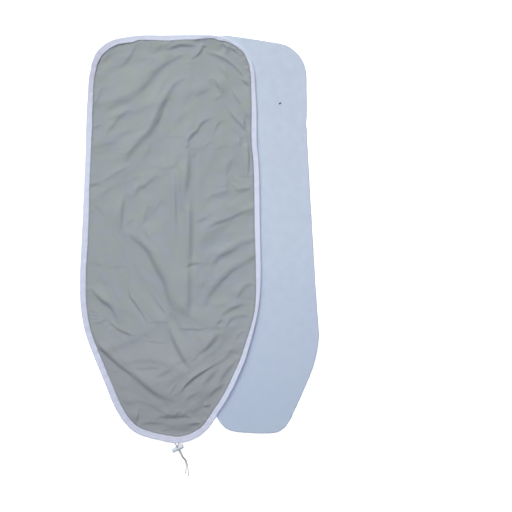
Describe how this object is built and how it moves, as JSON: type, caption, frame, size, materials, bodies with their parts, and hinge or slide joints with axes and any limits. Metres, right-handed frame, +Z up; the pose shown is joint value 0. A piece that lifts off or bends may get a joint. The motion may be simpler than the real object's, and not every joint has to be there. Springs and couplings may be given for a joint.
{
  "type": "ironing board cover",
  "caption": "Flat grey cloth cover for an ironing board, edged with a pale cord casing and closed by a sprung cord lock at the nose, laid over its loose pale-blue felt underlay.",
  "frame": {"origin": "on the surface that the set lies on, at the middle of the box around cover and underlay, cord ends and cord lock left out", "axes": "+Y along the cover from the nose to the wide back end, +X across towards the side where the underlay shows, +Z up"},
  "size_m": [0.6926, 1.2791, 0.0147],
  "materials": {
    "coated_cotton": "grey coated cotton, fine weave, soft dull sheen, creased",
    "casing_tape": "pale lavender-white folded polyester tape, matt",
    "braided_cord": "mid-grey braided polyester",
    "lock_plastic": "pale translucent white moulded plastic",
    "spring_steel": "bright drawn wire",
    "needled_felt": "pale blue needled felt, smooth and matt"
  },
  "bodies": {
    "cover": {"cover_panel": "coated_cotton", "edge_binding": "casing_tape", "drawcord_in_casing": "braided_cord", "drawcord_tail_long": "braided_cord", "drawcord_tail_short": "braided_cord"},
    "underlay": {"felt_pad": "needled_felt"},
    "cord_lock": {"cord_lock_barrel": "lock_plastic", "cord_lock_spring": "spring_steel"},
    "plunger": {"cord_lock_plunger": "lock_plastic"}
  },
  "joints": [
    {"name": "pad_pull_out", "type": "slide", "parent": "cover", "child": "underlay", "axis": [1, 0, 0], "range_m": [0, 0.25]},
    {"name": "cord_lock_slide", "type": "slide", "parent": "cover", "child": "cord_lock", "axis": [0.4447, -0.8957, 0], "range_m": [0, 0.02]},
    {"name": "plunger_press", "type": "slide", "parent": "cord_lock", "child": "plunger", "axis": [0.8957, 0.4447, 0], "range_m": [0, 0.004], "stiffness_N_per_m": 600, "springref_m": -0.004, "deforming": ["cord_lock_spring"]}
  ]
}
